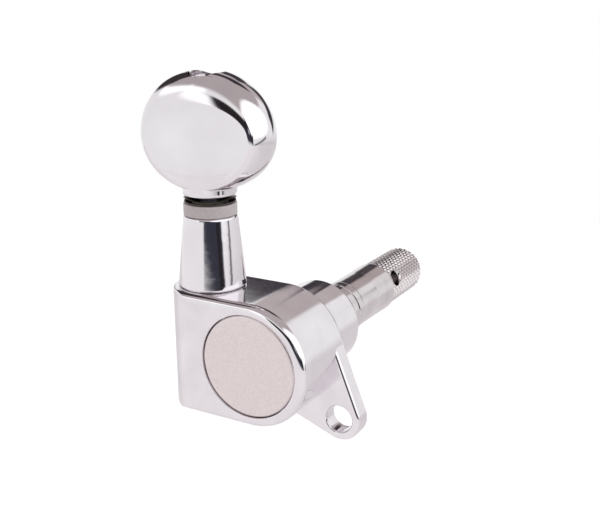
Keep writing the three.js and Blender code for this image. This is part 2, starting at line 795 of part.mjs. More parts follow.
// Pieces that turn with the button
const buttonPieces = new THREE.Group();
buttonPieces.position.set(neckX, neckY, 0);
buttonPieces.add(
  piece('worm_shaft', geometryOf(makeWormShaft()), steel),
  piece('tension_flat_washer', turned(ringProfile(
    neckBushInnerRadius, flatWasherRadius, flatWasherZ, flatWasherZ + flatWasherThickness,
  ), wideSides), darkSteel),
  piece('tension_wave_washer', makeWaveWasher(), darkSteel),
  piece('button', geometryOf(makeButton()), chrome),
  piece('button_screw_washer', turned(ringProfile(
    buttonScrewShankRadius + screwGap, screwRecessRadius - screwGap,
    recessFloorZ, buttonScrewSeatZ,
  )), nylon),
  piece('button_screw', geometryOf(makeButtonScrew()), chrome),
);

// Pieces that turn with the string
const postPieces = new THREE.Group();
postPieces.add(
  piece('string_post', geometryOf(makeStringPost()), chrome),
  piece('worm_gear', geometryOf(makeWormGear()), brass),
  piece('gear_lock_washer', geometryOf(makeLockWasher()), steel),
  piece('gear_screw', geometryOf(makeGearScrew()), steel),
);

const tuningMachine = new THREE.Group();
tuningMachine.add(fixedPieces, neckPieces, buttonPieces, postPieces);
export default tuningMachine;
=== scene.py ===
# Guitar tuning machine: mirror-plated case, neck, oval button and knurled string post.
# Shapes are worked out in millimetres in the part's own frame and put into the meshes in metres.
import math

import bpy
import numpy as np
from mathutils import Matrix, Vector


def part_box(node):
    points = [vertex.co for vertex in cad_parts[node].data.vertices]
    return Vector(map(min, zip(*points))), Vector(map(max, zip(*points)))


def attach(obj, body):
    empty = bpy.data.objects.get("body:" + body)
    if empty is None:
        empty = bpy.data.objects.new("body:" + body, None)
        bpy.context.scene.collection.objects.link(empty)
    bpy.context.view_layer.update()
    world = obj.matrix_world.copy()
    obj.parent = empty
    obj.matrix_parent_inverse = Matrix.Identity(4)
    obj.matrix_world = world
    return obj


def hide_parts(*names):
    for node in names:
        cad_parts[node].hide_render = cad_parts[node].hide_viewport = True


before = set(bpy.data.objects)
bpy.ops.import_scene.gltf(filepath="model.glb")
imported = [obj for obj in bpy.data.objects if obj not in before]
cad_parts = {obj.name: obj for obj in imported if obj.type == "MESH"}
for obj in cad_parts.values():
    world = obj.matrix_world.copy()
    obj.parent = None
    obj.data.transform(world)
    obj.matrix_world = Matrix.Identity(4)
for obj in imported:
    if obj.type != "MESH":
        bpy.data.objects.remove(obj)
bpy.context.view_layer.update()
print("frame loaded:", len(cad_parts), "nodes")

mm = 0.001


# Small helpers for meshes

def nodeBox(node):  # lowest and highest corners of a frame node, in millimetres
    low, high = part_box(node)
    return np.array(low) / mm, np.array(high) / mm


def unit(vector):  # the same direction with a length of one
    return vector / np.linalg.norm(vector)


def roundedPath(corners, closed, steps=8, hold=0.03):
    # each corner is (u, v, radius): an arc tangent to both sides, with a point held close beside it
    points = []
    count = len(corners)
    for index, (u, v, radius) in enumerate(corners):
        here = np.array([u, v], float)
        if radius == 0 or (not closed and index in (0, count - 1)):
            points.append(here)
            continue
        before = np.array(corners[index - 1][:2], float)
        after = np.array(corners[(index + 1) % count][:2], float)
        a, b = unit(before - here), unit(after - here)
        half = math.acos(np.clip(a @ b, -1, 1)) / 2
        reach = radius / math.tan(half)
        centre = here + unit(a + b) * radius / math.sin(half)
        start, end = here + a * reach, here + b * reach
        fromAngle = math.atan2(*(start - centre)[::-1])
        toAngle = math.atan2(*(end - centre)[::-1])
        turn = (toAngle - fromAngle + math.pi) % (2 * math.pi) - math.pi
        points.append(start + a * hold)
        for step in range(steps + 1):
            angle = fromAngle + turn * step / steps
            points.append(centre + radius * np.array([math.cos(angle), math.sin(angle)]))
        points.append(end + b * hold)
    return np.array(points)


def gridFaces(rows, columns, closeRows, closeColumns):
    # quads between neighbouring rows and columns of a grid, joined end to start where asked
    r = np.arange(rows if closeRows else rows - 1)
    c = np.arange(columns if closeColumns else columns - 1)
    r, c = np.meshgrid(r, c, indexing="ij")
    nextRow, nextColumn = (r + 1) % rows, (c + 1) % columns
    faces = [r * columns + c, r * columns + nextColumn,
             nextRow * columns + nextColumn, nextRow * columns + c]
    return np.stack([f.ravel() for f in faces], axis=1).tolist()


def poleFan(firstRow, columns, pole, flipped):
    # triangles from one pole point to each neighbouring pair of a row's points
    c = np.arange(columns)
    nextColumn = (c + 1) % columns
    sides = (c, nextColumn) if flipped else (nextColumn, c)
    faces = np.stack([np.full(columns, pole), firstRow + sides[0], firstRow + sides[1]], axis=1)
    return faces.tolist()


def facesOut(points, faces):
    # the sum of the tetrahedra from the origin gives the volume, which is negative inside out
    volume = 0.0
    for size in (3, 4):
        picked = np.array([f for f in faces if len(f) == size], int).reshape(-1, size)
        for k in range(1, size - 1):
            a, b, c = points[picked[:, 0]], points[picked[:, k]], points[picked[:, k + 1]]
            volume += np.einsum("ij,ij->", a, np.cross(b, c))
    return faces if volume > 0 else [f[::-1] for f in faces]


def meshObject(name, points, faces):
    # points come in millimetres and go into the mesh in metres
    mesh = bpy.data.meshes.new(name)
    mesh.from_pydata((np.asarray(points) * mm).tolist(), [], facesOut(np.asarray(points), faces))
    mesh.update()
    made = bpy.data.objects.new(name, mesh)
    bpy.context.scene.collection.objects.link(made)
    return made


def loopsObject(name, loops, closed=False):
    # loops of points joined into a skin: closed end to start, or with a pole at each end
    loops = np.asarray(loops, float)
    rows, columns = loops.shape[:2]
    points = loops.reshape(-1, 3)
    faces = gridFaces(rows, columns, closed, True)
    if not closed:
        poles = np.stack([loops[0].mean(axis=0), loops[-1].mean(axis=0)])
        first = len(points)
        points = np.concatenate([points, poles])
        faces += poleFan(0, columns, first, False)
        faces += poleFan((rows - 1) * columns, columns, first + 1, True)
    return meshObject(name, points, faces)


def turnedLoops(profile, axis, centre, count):
    # each (radius, distance) point of the profile is carried round the axis
    angle = 2 * np.pi * np.arange(count) / count
    radius, along = profile[:, 0, None], profile[:, 1, None]
    c, s = radius * np.cos(angle), radius * np.sin(angle)
    flat = np.broadcast_to(along, c.shape)
    if axis == "Z":
        return np.stack([centre[0] + c, centre[1] + s, flat], axis=2)
    return np.stack([c, flat, s], axis=2)


def turnedObject(name, corners, axis, centre=(0, 0), count=160, steps=8):
    # a profile that starts and ends on the axis is a solid, and any other closes into a ring
    solid = corners[0][0] == 0
    profile = roundedPath(corners, not solid, steps)
    if solid:
        profile = profile[1:-1]
    return loopsObject(name, turnedLoops(profile, axis, centre, count), closed=not solid)


def carve(target, tool, operation):
    # joins or cuts with a second mesh, keeps the result and throws the tool away
    modifier = target.modifiers.new(operation, "BOOLEAN")
    modifier.operation = operation
    modifier.solver = "EXACT"
    modifier.object = tool
    bpy.context.view_layer.update()
    graph = bpy.context.evaluated_depsgraph_get()
    result = bpy.data.meshes.new_from_object(target.evaluated_get(graph))
    target.modifiers.clear()
    old = target.data
    target.data = result
    bpy.data.meshes.remove(old)
    bpy.data.objects.remove(tool)


def finishPiece(made, material, body, slot, *nodes, sharpAngle=32):
    # gives a mesh its finish and smooth shading, hangs it on its body's empty and hides the frame
    # nodes it replaces; the slot is not used
    made.data.materials.clear()
    made.data.materials.append(material)
    made.data.shade_smooth()
    made.data.set_sharp_from_angle(angle=math.radians(sharpAngle))
    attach(made, body)
    if nodes:
        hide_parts(*nodes)
    print("made", made.name, len(made.data.polygons), "faces")


# Small helpers for materials

def linearColour(hexText):
    # sRGB hex to linear light: v / 12.92 near black, else ((v + 0.055) / 1.055) to the power 2.4
    values = [int(hexText[i:i + 2], 16) / 255 for i in (1, 3, 5)]
    linear = [v / 12.92 if v <= 0.04045 else ((v + 0.055) / 1.055) ** 2.4 for v in values]
    return (*linear, 1.0)


def perMillimetre(size):  # noise scale on Object coordinates for a feature of this size
    return 1 / (size * mm)


def addNode(tree, kind, settings=None, inputs=None, links=None):
    node = tree.nodes.new(kind)
    for key, value in (settings or {}).items():
        setattr(node, key, value)
    for key, value in (inputs or {}).items():
        node.inputs[key].default_value = value
    for key, source in (links or {}).items():
        tree.links.new(source, node.inputs[key])
    return node


def newMaterial(name):
    material = bpy.data.materials.new(name)
    material.use_nodes = True
    tree = material.node_tree
    tree.nodes.clear()
    shader = addNode(tree, "ShaderNodeBsdfPrincipled")
    output = addNode(tree, "ShaderNodeOutputMaterial")
    tree.links.new(shader.outputs["BSDF"], output.inputs["Surface"])
    place = addNode(tree, "ShaderNodeTexCoord").outputs["Object"]
    return material, tree, shader, place


def blendedColour(tree, shader, factor, first, second):
    # the base colour runs from one sRGB hex value to another along a pattern
    ramp = addNode(tree, "ShaderNodeValToRGB", links={"Fac": factor})
    for element, position, hexText in zip(ramp.color_ramp.elements, (0.3, 0.7), (first, second)):
        element.position = position
        element.color = linearColour(hexText)
    tree.links.new(ramp.outputs["Color"], shader.inputs["Base Color"])


def platedMaterial(name, look):
    # bright chrome plate: a mirror that carries the slight waves of the polished metal under it
    material, tree, shader, place = newMaterial(name)
    shader.inputs["Metallic"].default_value = 1.0
    tint = addNode(tree, "ShaderNodeTexNoise", links={"Vector": place},
                   inputs={"Scale": perMillimetre(look["tintSize"]), "Detail": 2.0})
    blendedColour(tree, shader, tint.outputs["Fac"], look["darkHex"], look["lightHex"])
    wave = addNode(tree, "ShaderNodeTexNoise", links={"Vector": place},
                   inputs={"Scale": perMillimetre(look["waveSize"]), "Detail": 1.0})
    peel = addNode(tree, "ShaderNodeTexNoise", links={"Vector": place},
                   inputs={"Scale": perMillimetre(look["peelSize"]), "Detail": 2.0})
    coarse = addNode(tree, "ShaderNodeBump", links={"Height": wave.outputs["Fac"]},
                     inputs={"Strength": 1.0, "Distance": look["waveDepth"] * mm})
    fine = addNode(tree, "ShaderNodeBump",
                   links={"Height": peel.outputs["Fac"], "Normal": coarse.outputs["Normal"]},
                   inputs={"Strength": 1.0, "Distance": look["peelDepth"] * mm})
    tree.links.new(fine.outputs["Normal"], shader.inputs["Normal"])
    haze = addNode(tree, "ShaderNodeMapRange", links={"Value": peel.outputs["Fac"]},
                   inputs={"To Min": look["roughLow"], "To Max": look["roughHigh"]})
    tree.links.new(haze.outputs["Result"], shader.inputs["Roughness"])
    return material


def grainMaterial(name, look):
    # satin metal, moulded plastic or rubber: a fine grain in both colour and height
    material, tree, shader, place = newMaterial(name)
    shader.inputs["Metallic"].default_value = look["metallic"]
    grain = addNode(tree, "ShaderNodeTexNoise", links={"Vector": place},
                    inputs={"Scale": perMillimetre(look["grainSize"]), "Detail": 3.0})
    blendedColour(tree, shader, grain.outputs["Fac"], look["darkHex"], look["lightHex"])
    bump = addNode(tree, "ShaderNodeBump", links={"Height": grain.outputs["Fac"]},
                   inputs={"Strength": 1.0, "Distance": look["grainDepth"] * mm})
    tree.links.new(bump.outputs["Normal"], shader.inputs["Normal"])
    haze = addNode(tree, "ShaderNodeMapRange", links={"Value": grain.outputs["Fac"]},
                   inputs={"To Min": look["roughLow"], "To Max": look["roughHigh"]})
    tree.links.new(haze.outputs["Result"], shader.inputs["Roughness"])
    return material


def turnedMaterial(name, look):
    # lathe-cut metal: rings square to the axis of turning, coarser than real ones so that they show
    # a wave texture repeats 20 / (2 pi) times for each unit of its scale
    material, tree, shader, place = newMaterial(name)
    shader.inputs["Metallic"].default_value = 1.0
    scale = perMillimetre(look["ringPitch"]) * 2 * math.pi / 20
    rings = addNode(tree, "ShaderNodeTexWave",
                    {"bands_direction": look["axis"], "wave_profile": "TRI"},
                    {"Scale": scale, "Distortion": 0.6}, {"Vector": place})
    blendedColour(tree, shader, rings.outputs["Fac"], look["darkHex"], look["lightHex"])
    bump = addNode(tree, "ShaderNodeBump", links={"Height": rings.outputs["Fac"]},
                   inputs={"Strength": 1.0, "Distance": look["ringDepth"] * mm})
    tree.links.new(bump.outputs["Normal"], shader.inputs["Normal"])
    shader.inputs["Roughness"].default_value = look["rough"]
    return material


# Finishes, each from what the real surface is

caseChrome = platedMaterial("caseChromePlate", {  # polished zinc casting, nickel and chrome plated
    "darkHex": "#E0DCE0", "lightHex": "#E9E6E9", "tintSize": 3.2, "waveSize": 2.2,
    "waveDepth": 0.004, "peelSize": 0.35, "peelDepth": 0.0003, "roughLow": 0.05, "roughHigh": 0.09})
neckChrome = platedMaterial("neckChromePlate", {  # turned and plated, rippled more than the case
    "darkHex": "#DFDBDF", "lightHex": "#E7E3E7", "tintSize": 6.0, "waveSize": 1.1,
    "waveDepth": 0.009, "peelSize": 0.3, "peelDepth": 0.0014, "roughLow": 0.05, "roughHigh": 0.09})
buttonChrome = platedMaterial("buttonChromePlate", {  # the smoothest polish on the machine
    "darkHex": "#DEDADE", "lightHex": "#E8E5E8", "tintSize": 6.0, "waveSize": 4.0,
    "waveDepth": 0.003, "peelSize": 0.4, "peelDepth": 0.0002, "roughLow": 0.05, "roughHigh": 0.08})
postChrome = platedMaterial("postChromePlate", {  # plated steel, a little hazier over the knurl
    "darkHex": "#CEC8C9", "lightHex": "#DDD8D9", "tintSize": 3.0, "waveSize": 1.5,
    "waveDepth": 0.002, "peelSize": 0.25, "peelDepth": 0.0004, "roughLow": 0.09, "roughHigh": 0.14})
satinChrome = grainMaterial("capSatinChrome", {  # blasted before plating, so it glows softly
    "darkHex": "#DCD1D1", "lightHex": "#E7DEDE", "metallic": 1.0, "grainSize": 0.18,
    "grainDepth": 0.0008, "roughLow": 0.3, "roughHigh": 0.38})
paleNylon = grainMaterial("paleNylon", {  # natural nylon, moulded, slightly waxy
    "darkHex": "#C5BDBE", "lightHex": "#D0C8C8", "metallic": 0.0, "grainSize": 0.4,
    "grainDepth": 0.001, "roughLow": 0.4, "roughHigh": 0.5})
blackRubber = grainMaterial("sealRubber", {  # nitrile rubber ring, dull black
    "darkHex": "#141416", "lightHex": "#1E1E21", "metallic": 0.0, "grainSize": 0.3,
    "grainDepth": 0.002, "roughLow": 0.6, "roughHigh": 0.75})
darkSteel = turnedMaterial("blackenedSteel", {  # oiled spring steel with a brown cast
    "darkHex": "#2C2623", "lightHex": "#57504A", "axis": "Z", "ringPitch": 0.754,
    "ringDepth": 0.003, "rough": 0.3})
shaftSteel = turnedMaterial("shaftSteel", {  # bright cut steel of the worm shaft
    "darkHex": "#8C8F93", "lightHex": "#A9ABAE", "axis": "Z", "ringPitch": 0.9425,
    "ringDepth": 0.002, "rough": 0.28})
screwSteel = turnedMaterial("screwSteel", {  # zinc plated steel of the gear's screw and washer
    "darkHex": "#8E9196", "lightHex": "#AEB0B4", "axis": "Y", "ringPitch": 0.9425,
    "ringDepth": 0.002, "rough": 0.3})
sleeveSteel = turnedMaterial("sleeveSteel", {  # pale turned sleeve in the boss
    "darkHex": "#BDB7B5", "lightHex": "#D6D1CF", "axis": "Y", "ringPitch": 1.2566,
    "ringDepth": 0.002, "rough": 0.22})
gearBrass = turnedMaterial("gearBrass", {  # hobbed brass
    "darkHex": "#A8843C", "lightHex": "#C9A65A", "axis": "Y", "ringPitch": 0.9425,
    "ringDepth": 0.002, "rough": 0.3})
print("materials made")


# Places shared by the pieces, read from the frame

neckLow, neckHigh = nodeBox("stem_neck")
postLow, postHigh = nodeBox("string_post")
bushLow, bushHigh = nodeBox("neck_bush")
sleeveLow, sleeveHigh = nodeBox("post_bushing")
neckX, neckY = (neckLow[:2] + neckHigh[:2]) / 2
neckAxis = (neckX, neckY)


# Gear case: one casting with the boss and the lug

case = {
    "radius": 6.8, "depth": 8.6, "edgeRound": 0.85, "frontRound": 0.35, "cornerRound": 0.35,
    "capSeat": 5.67, "chamber": 5.26, "ledge": -7.6, "floor": -1.6,
    "bore": 3.75, "boss": 5.0, "bossLength": 7.45, "bossRound": 0.4, "boreRound": 0.1,
    "wormBore": 3.26, "wormBoreFoot": -4.86, "wormBoreTop": 7.5,
    "hold": 0.04, "seatRound": 0.08, "sharpCorner": 0.02,
    "slices": 96, "arcSteps": 96, "flatSteps": 24, "sideSteps": 44, "cornerSteps": 8,
}


def caseSlice(y, drawnIn, corner, leftIn=0.0):
    # one slice square to the post: a half round on the right, two flats, and a straight left side
    # whose place follows the half round of the plan about the neck
    radius = case["radius"] - drawnIn
    half = case["depth"] / 2
    left = neckX - math.sqrt(max(half ** 2 - (y + half) ** 2, 0)) + leftIn
    arc = np.linspace(-np.pi / 2, np.pi / 2, case["arcSteps"] + 1)
    parts = [np.stack([radius * np.cos(arc), radius * np.sin(arc)], axis=1)]
    flat = np.linspace(0, 1, case["flatSteps"] + 1)[1:, None]
    turn = np.linspace(0, np.pi / 2, case["cornerSteps"] + 1)[1:]
    side = np.linspace(0, 1, case["sideSteps"] + 1)[1:, None]
    topStart, topEnd = np.array([0, radius]), np.array([left + corner, radius])
    parts.append(topStart + (topEnd - topStart) * flat)
    parts.append(np.stack([left + corner - corner * np.sin(turn),
                           radius - corner + corner * np.cos(turn)], axis=1))
    sideStart, sideEnd = np.array([left, radius - corner]), np.array([left, corner - radius])
    parts.append(sideStart + (sideEnd - sideStart) * side)
    parts.append(np.stack([left + corner - corner * np.cos(turn),
                           corner - radius - corner * np.sin(turn)], axis=1))
    lowStart, lowEnd = np.array([left + corner, -radius]), np.array([0, -radius])
    parts.append((lowStart + (lowEnd - lowStart) * flat)[:-1])
    outline = np.concatenate(parts)
    return np.stack([outline[:, 0], np.full(len(outline), y), outline[:, 1]], axis=1)


def ringLike(outline, radius, y):
    # a circle about the post's axis with its points at the same angles as the outline's
    angle = np.arctan2(outline[:, 2], outline[:, 0])
    return np.stack([radius * np.cos(angle), np.full(len(angle), y),
                     radius * np.sin(angle)], axis=1)


def makeCase():
    # both edges are quarter rounds: how far a slice is drawn in follows a circle's equation
    depth, edge = case["depth"], case["edgeRound"]
    loops = []
    for turn in np.linspace(0, np.pi, case["slices"] + 1):
        y = -depth / 2 * (1 - math.cos(turn))
        drawnIn = 0.0
        for size, gone in ((edge, depth + y), (case["frontRound"], -y)):
            into = min(max(1 - gone / size, 0), 1)
            drawnIn += size * (1 - math.sqrt(1 - into ** 2))
        corner = max(case["cornerRound"] * math.sin(turn), case["sharpCorner"])
        loops.append(caseSlice(y, drawnIn, corner))
    front, back = loops[0], loops[-1]
    # a loop held close to the round keeps the flat face beside it flat in the shading
    loops.append(caseSlice(-depth, edge + case["hold"], case["sharpCorner"], case["hold"]))
    seat, seatRound = case["capSeat"], case["seatRound"]
    backSeat = [(seat + seatRound, -depth), (seat + seatRound / 4, -depth + seatRound / 4),
                (seat, -depth + seatRound), (seat, case["ledge"]),
                (case["chamber"], case["ledge"]), (case["chamber"], case["floor"]),
                (case["bore"], case["floor"])]
    loops += [ringLike(back, radius, y) for radius, y in backSeat]
    bossPath = roundedPath([
        (case["bore"], case["floor"], 0), (case["bore"], case["bossLength"], case["boreRound"]),
        (case["boss"], case["bossLength"], case["bossRound"]), (case["boss"], 0, 0)], False)
    loops += [ringLike(front, radius, y) for radius, y in bossPath[1:]]
    return loopsObject("gearCase", loops, closed=True)


lug = {
    "x": 7.25, "z": -7.04, "tip": 2.47, "hole": 1.52, "thick": 1.95, "edgeRound": 0.4,
    "holeRound": 0.25, "root": 5.9, "rootSpread": math.radians(50), "rootShare": 0.97,
    "setBack": 0.029, "hold": 0.04, "holeHold": 0.03, "mouth": 0.15,
    "tipSteps": 48, "sideSteps": 24, "edgeSteps": 8, "holeSteps": 6,
}


def lugOutline(drawnIn):
    # straight sides that touch the rounds of the case and of the tip, and a root inside the case
    distance = math.hypot(lug["x"], lug["z"])
    direction = math.atan2(lug["z"], lug["x"])
    spread = math.acos((case["radius"] - lug["tip"]) / distance)
    tip = lug["tip"] - drawnIn
    root = case["radius"] - drawnIn
    arc = np.linspace(direction - spread, direction + spread, lug["tipSteps"] + 1)
    tipPoints = np.stack([lug["x"] + tip * np.cos(arc), lug["z"] + tip * np.sin(arc)], axis=1)
    ends = [direction + spread, direction - spread]
    rootPoints = [np.array([root * math.cos(a), root * math.sin(a)]) * lug["rootShare"]
                  for a in ends]
    share = np.linspace(0, 1, lug["sideSteps"] + 1)[1:, None]
    inner = direction + np.linspace(lug["rootSpread"], -lug["rootSpread"], 2 * lug["sideSteps"])
    parts = [tipPoints, tipPoints[-1] + (rootPoints[0] - tipPoints[-1]) * share,
             (lug["root"] - drawnIn) * np.stack([np.cos(inner), np.sin(inner)], axis=1),
             (tipPoints[0] + (rootPoints[1] - tipPoints[0]) * share)[::-1]]
    return np.concatenate(parts)


def makeLug():
    # loops run down the outside, over the back's rounded edge, and back through the screw's hole
    thick, edge, holeEdge, mouth = lug["thick"], lug["edgeRound"], lug["holeRound"], lug["mouth"]
    loops = []

    def addLoop(outline, y):
        loops.append(np.stack([outline[:, 0], np.full(len(outline), y), outline[:, 1]], axis=1))

    addLoop(lugOutline(0), -lug["setBack"])
    addLoop(lugOutline(0), edge - thick + lug["hold"])
    for turn in np.linspace(0, np.pi / 2, lug["edgeSteps"] + 1):
        addLoop(lugOutline(edge * (1 - math.cos(turn))), edge - thick - edge * math.sin(turn))
    addLoop(lugOutline(edge + lug["hold"]), -thick)
    edgeAngle = np.arctan2(lugOutline(0)[:, 1] - lug["z"], lugOutline(0)[:, 0] - lug["x"])
    direction = np.stack([np.cos(edgeAngle), np.sin(edgeAngle)], axis=1)
    centre = np.array([lug["x"], lug["z"]])
    addLoop(centre + direction * (lug["hole"] + holeEdge + lug["holeHold"]), -thick)
    for turn in np.linspace(0, np.pi / 2, lug["holeSteps"] + 1):
        radius = lug["hole"] + holeEdge * (1 - math.sin(turn))
        addLoop(centre + direction * radius, -thick + holeEdge * (1 - math.cos(turn)))
    addLoop(centre + direction * lug["hole"], -mouth)
    addLoop(centre + direction * (lug["hole"] + mouth), -lug["setBack"])
    return loopsObject("lugPlate", loops, closed=True)


gearCase = makeCase()
carve(gearCase, makeLug(), "UNION")
wormBoreTool = turnedObject("wormBoreTool", [
    (0, case["wormBoreFoot"], 0), (case["wormBore"], case["wormBoreFoot"], 0),
    (case["wormBore"], case["wormBoreTop"], 0), (0, case["wormBoreTop"], 0)],
    "Z", neckAxis, count=96)
carve(gearCase, wormBoreTool, "DIFFERENCE")
finishPiece(gearCase, caseChrome, "gear_case", "chrome_plate", "housing")


# Tapered neck, its bush and the tension washers

neck = {
    "foot": 3.69, "top": 2.89, "footRound": 0.3, "topRound": 0.35, "bore": 1.95, "pocket": 2.4,
    "spigot": 3.21, "pocketDepth": 2.65, "bushGap": 0.05, "bushInner": 1.85, "bushFlange": 2.85,
    "bushEdge": 0.05, "bushRound": 0.15,
}
footZ, topZ = case["radius"], neckHigh[2]
taperedNeck = turnedObject("taperedNeck", [
    (neck["bore"], neckLow[2], 0), (neck["spigot"], neckLow[2], 0), (neck["spigot"], footZ, 0),
    (neck["foot"], footZ, neck["footRound"]), (neck["top"], topZ, neck["topRound"]),
    (neck["pocket"], topZ, 0), (neck["pocket"], topZ - neck["pocketDepth"], 0),
    (neck["bore"], topZ - neck["pocketDepth"], 0)], "Z", neckAxis)
finishPiece(taperedNeck, neckChrome, "gear_case", "chrome_plate", "stem_neck")

flangedBush = turnedObject("flangedBush", [
    (neck["bushInner"], bushLow[2], 0), (neck["pocket"] - neck["bushGap"], bushLow[2], 0),
    (neck["pocket"] - neck["bushGap"], topZ, 0), (neck["bushFlange"], topZ, neck["bushEdge"]),
    (neck["bushFlange"], bushHigh[2], neck["bushRound"]), (neck["bushInner"], bushHigh[2], 0)],
    "Z", neckAxis)
finishPiece(flangedBush, paleNylon, "gear_case", "pale_nylon", "neck_bush")

plainWasher = {"inner": 1.85, "outer": 2.75, "edge": 0.05}
flatLow, flatHigh = nodeBox("tension_flat_washer")
flatWasher = turnedObject("flatSteelWasher", [
    (plainWasher["inner"], flatLow[2], 0), (plainWasher["outer"], flatLow[2], plainWasher["edge"]),
    (plainWasher["outer"], flatHigh[2], plainWasher["edge"]),
    (plainWasher["inner"], flatHigh[2], 0)], "Z", neckAxis)
finishPiece(flatWasher, darkSteel, "button_and_worm", "dark_steel", "tension_flat_washer")

wave = {"inner": 1.85, "outer": 2.78, "thick": 0.18, "rise": 0.16, "waves": 3, "edge": 0.04,
        "count": 192}


def makeWaveWasher():
    # a flat ring's section carried round the neck, its height following a cosine
    low, high = nodeBox("tension_wave_washer")
    half = wave["thick"] / 2
    section = roundedPath([
        (wave["inner"], -half, 0), (wave["outer"], -half, wave["edge"]),
        (wave["outer"], half, wave["edge"]), (wave["inner"], half, 0)], True, steps=4, hold=0.02)
    angle = 2 * np.pi * np.arange(wave["count"]) / wave["count"]
    height = (low[2] + high[2]) / 2 + wave["rise"] * np.cos(wave["waves"] * angle)
    radius = section[:, 0, None]
    loops = np.stack([neckX + radius * np.cos(angle), neckY + radius * np.sin(angle),
                      section[:, 1, None] + height], axis=2)
    return loopsObject("waveSpringWasher", loops, closed=True)


finishPiece(makeWaveWasher(), darkSteel, "button_and_worm", "dark_steel", "tension_wave_washer")


# Oval button with its collar, screw recess and bore

button = {
    "halfWidth": 7.5, "upper": 6.7, "lower": 5.78, "thick": 5.8, "showing": 0.45,
    "sideDrop": 1.4, "topDrop": 2.9, "footDrop": 0.6, "sidePower": 2, "risePower": 4,
    "crown": 0.12, "crownEase": 8, "edgeRound": 0.3, "restAngle": math.radians(8),
    "collar": 2.89, "collarRound": 0.4, "collarInto": 2.0, "recess": 2.0, "recessRound": 0.1,
    "recessTall": 3.0, "faceInner": 0.05, "faceOuter": 0.97,
    "count": 320, "sideSteps": 56, "edgeSteps": 10, "faceSteps": 18,
}
collarFoot = nodeBox("button")[0][2]
buttonZ = collarFoot + button["showing"] + button["lower"]


def makeButton():
    # an oval drawn in from the middle to each face: a half axis less its drop times |t| to a power,
    # where t runs from -1 at one face to 1 at the other. Each face swells by its crown * (1 - r^2),
    # where r runs from 0 at its middle to 1 at its rim, and the swell eases out near the rim
    angle = 2 * np.pi * np.arange(button["count"]) / button["count"]
    c, s = np.cos(angle), np.sin(angle)
    halfThick, edge = button["thick"] / 2, button["edgeRound"]
    side = (halfThick - edge) * np.sin(np.linspace(-np.pi / 2, np.pi / 2, button["sideSteps"] + 1))
    turn = np.linspace(0, np.pi / 2, button["edgeSteps"] + 1)[1:]
    bend, inset = halfThick - edge + edge * np.sin(turn), edge * (1 - np.cos(turn))
    through = np.concatenate([-bend[::-1], side, bend])[:, None]
    inset = np.concatenate([inset[::-1], np.zeros(len(side)), inset])[:, None]
    t = np.abs(through / halfThick)
    half = np.where(s > 0, button["upper"], button["lower"])
    drop = np.where(s > 0, button["topDrop"], button["footDrop"])
    wide = (button["halfWidth"] - button["sideDrop"] * t ** button["sidePower"] - inset) * c
    tall = (half - drop * t ** button["risePower"] - inset) * s
    deep = np.broadcast_to(through, wide.shape)
    share = np.linspace(button["faceInner"], button["faceOuter"], button["faceSteps"])[:, None]
    ease = np.minimum(1, (1 - share) * button["crownEase"])
    swell = button["crown"] * (1 - share ** 2) * ease * np.ones_like(c)
    near = np.stack([wide[0] * share, deep[0] - swell, tall[0] * share], axis=2)
    far = np.stack([wide[-1] * share, deep[-1] + swell, tall[-1] * share], axis=2)[::-1]
    loops = np.concatenate([near, np.stack([wide, deep, tall], axis=2), far])
    ca, sa = math.cos(button["restAngle"]), math.sin(button["restAngle"])
    x, y = loops[..., 0] * ca - loops[..., 1] * sa, loops[..., 0] * sa + loops[..., 1] * ca
    placed = np.stack([neckX + x, neckY + y, buttonZ + loops[..., 2]], axis=2)
    return loopsObject("ovalButton", placed)


ovalButton = makeButton()
collar = turnedObject("collar", [
    (0, collarFoot, 0), (button["collar"], collarFoot, button["collarRound"]),
    (button["collar"], buttonZ - button["collarInto"], 0), (0, buttonZ - button["collarInto"], 0)],
    "Z", neckAxis)
carve(ovalButton, collar, "UNION")
recessFloor = nodeBox("button_screw_washer")[0][2]
recessTop = recessFloor + button["recessTall"]
recess = turnedObject("recess", [
    (0, recessFloor, 0), (button["recess"], recessFloor, button["recessRound"]),
    (button["recess"], recessTop, 0), (0, recessTop, 0)], "Z", neckAxis, count=128)
carve(ovalButton, recess, "DIFFERENCE")
finishPiece(ovalButton, buttonChrome, "button_and_worm", "chrome_plate", "button")

screw = {
    "head": 1.7, "headRound": 0.35, "height": 0.75, "crown": 0.15, "flatTop": 0.6, "edge": 0.05,
    "shank": 0.9, "tipRound": 0.1, "slotWide": 0.5, "slotLong": 2.3, "slotDeep": 0.55,
    "slotTaper": 0.6, "slotFlare": 1.15, "slotOver": 0.3,
}
screwLow, screwHigh = nodeBox("button_screw")


def crossTool(turn):
    # a tapered slot across the screw's head: wide at the top and narrower at its floor
    top, floor = screwHigh[2] + screw["slotOver"], screwHigh[2] - screw["slotDeep"]
    loops = []
    for height, share in ((floor, screw["slotTaper"]), (top, screw["slotFlare"])):
        long, wide = screw["slotLong"] / 2 * share, screw["slotWide"] / 2 * share
        corners = np.array([(-long, -wide), (long, -wide), (long, wide), (-long, wide)])
        ca, sa = math.cos(turn), math.sin(turn)
        turned = corners @ np.array([[ca, sa], [-sa, ca]])
        loops.append(np.stack([neckX + turned[:, 0], neckY + turned[:, 1],
                               np.full(4, height)], axis=1))
    return loopsObject("crossTool", loops)


